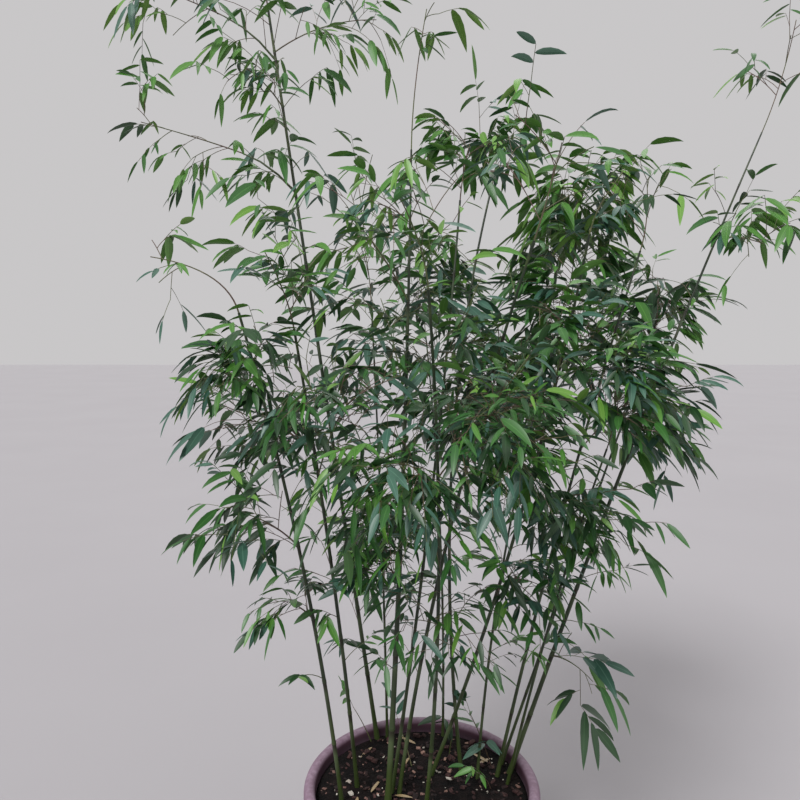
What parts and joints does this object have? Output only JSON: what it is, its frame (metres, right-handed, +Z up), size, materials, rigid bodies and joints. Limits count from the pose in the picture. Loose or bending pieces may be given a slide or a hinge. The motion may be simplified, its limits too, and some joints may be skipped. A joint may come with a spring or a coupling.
{
  "type": "potted bamboo",
  "caption": "Clump of slender leaning canes with drooping narrow leaves, rooted in soil in a round tapered pot with a rolled rim.",
  "frame": {"origin": "middle of the pot's flat underside", "axes": "+Z up along the pot's axis, -Y towards the side seen in the picture, +X to that side's right"},
  "size_m": [1.7436, 1.1583, 2.3227],
  "materials": {
    "pot": "faded matt mauve",
    "soil": "dark crumbly bark compost",
    "cane": "satin green to olive",
    "leaf": "satin mid green, paler below"
  },
  "bodies": {
    "root": {"pot": "pot", "soil": "soil", "cane_back": "cane", "cane_back_left": "cane", "cane_back_right": "cane", "cane_fan_back": "cane", "cane_fan_front": "cane", "cane_front": "cane", "cane_leaning": "cane", "cane_left": "cane", "cane_left_inner": "cane", "cane_middle": "cane", "cane_right": "cane", "cane_right_back": "cane", "cane_right_front": "cane", "cane_right_inner": "cane", "cane_tall": "cane", "cane_thick": "cane", "bough_tall_high": "cane", "bough_tall_left": "cane", "mass_back_left_top": "leaf", "mass_back_right_top": "leaf", "mass_back_top": "leaf", "mass_fan_back_top": "leaf", "mass_fan_front_top": "leaf", "mass_front_left": "leaf", "mass_front_low": "leaf", "mass_front_right": "leaf", "mass_front_top": "leaf", "mass_leaning_left": "leaf", "mass_leaning_low": "leaf", "mass_leaning_right": "leaf", "mass_leaning_top": "leaf", "mass_left_inner_front": "leaf", "mass_left_inner_side": "leaf", "mass_left_inner_top": "leaf", "mass_left_low": "leaf", "mass_left_lowest": "leaf", "mass_left_top": "leaf", "mass_left_upper": "leaf", "mass_middle_side": "leaf", "mass_middle_top": "leaf", "mass_right_back_top": "leaf", "mass_right_front_top": "leaf", "mass_right_inner_left": "leaf", "mass_right_inner_right": "leaf", "mass_right_inner_top": "leaf", "mass_right_lowest": "leaf", "mass_right_side": "leaf", "mass_right_top": "leaf", "mass_tall_far_left": "leaf", "mass_tall_high_front": "leaf", "mass_tall_high_left": "leaf", "mass_tall_high_right": "leaf", "mass_tall_top": "leaf", "mass_thick_back": "leaf", "mass_thick_left": "leaf", "mass_thick_low": "leaf", "mass_thick_right": "leaf", "mass_whip": "leaf"}
  },
  "joints": []
}
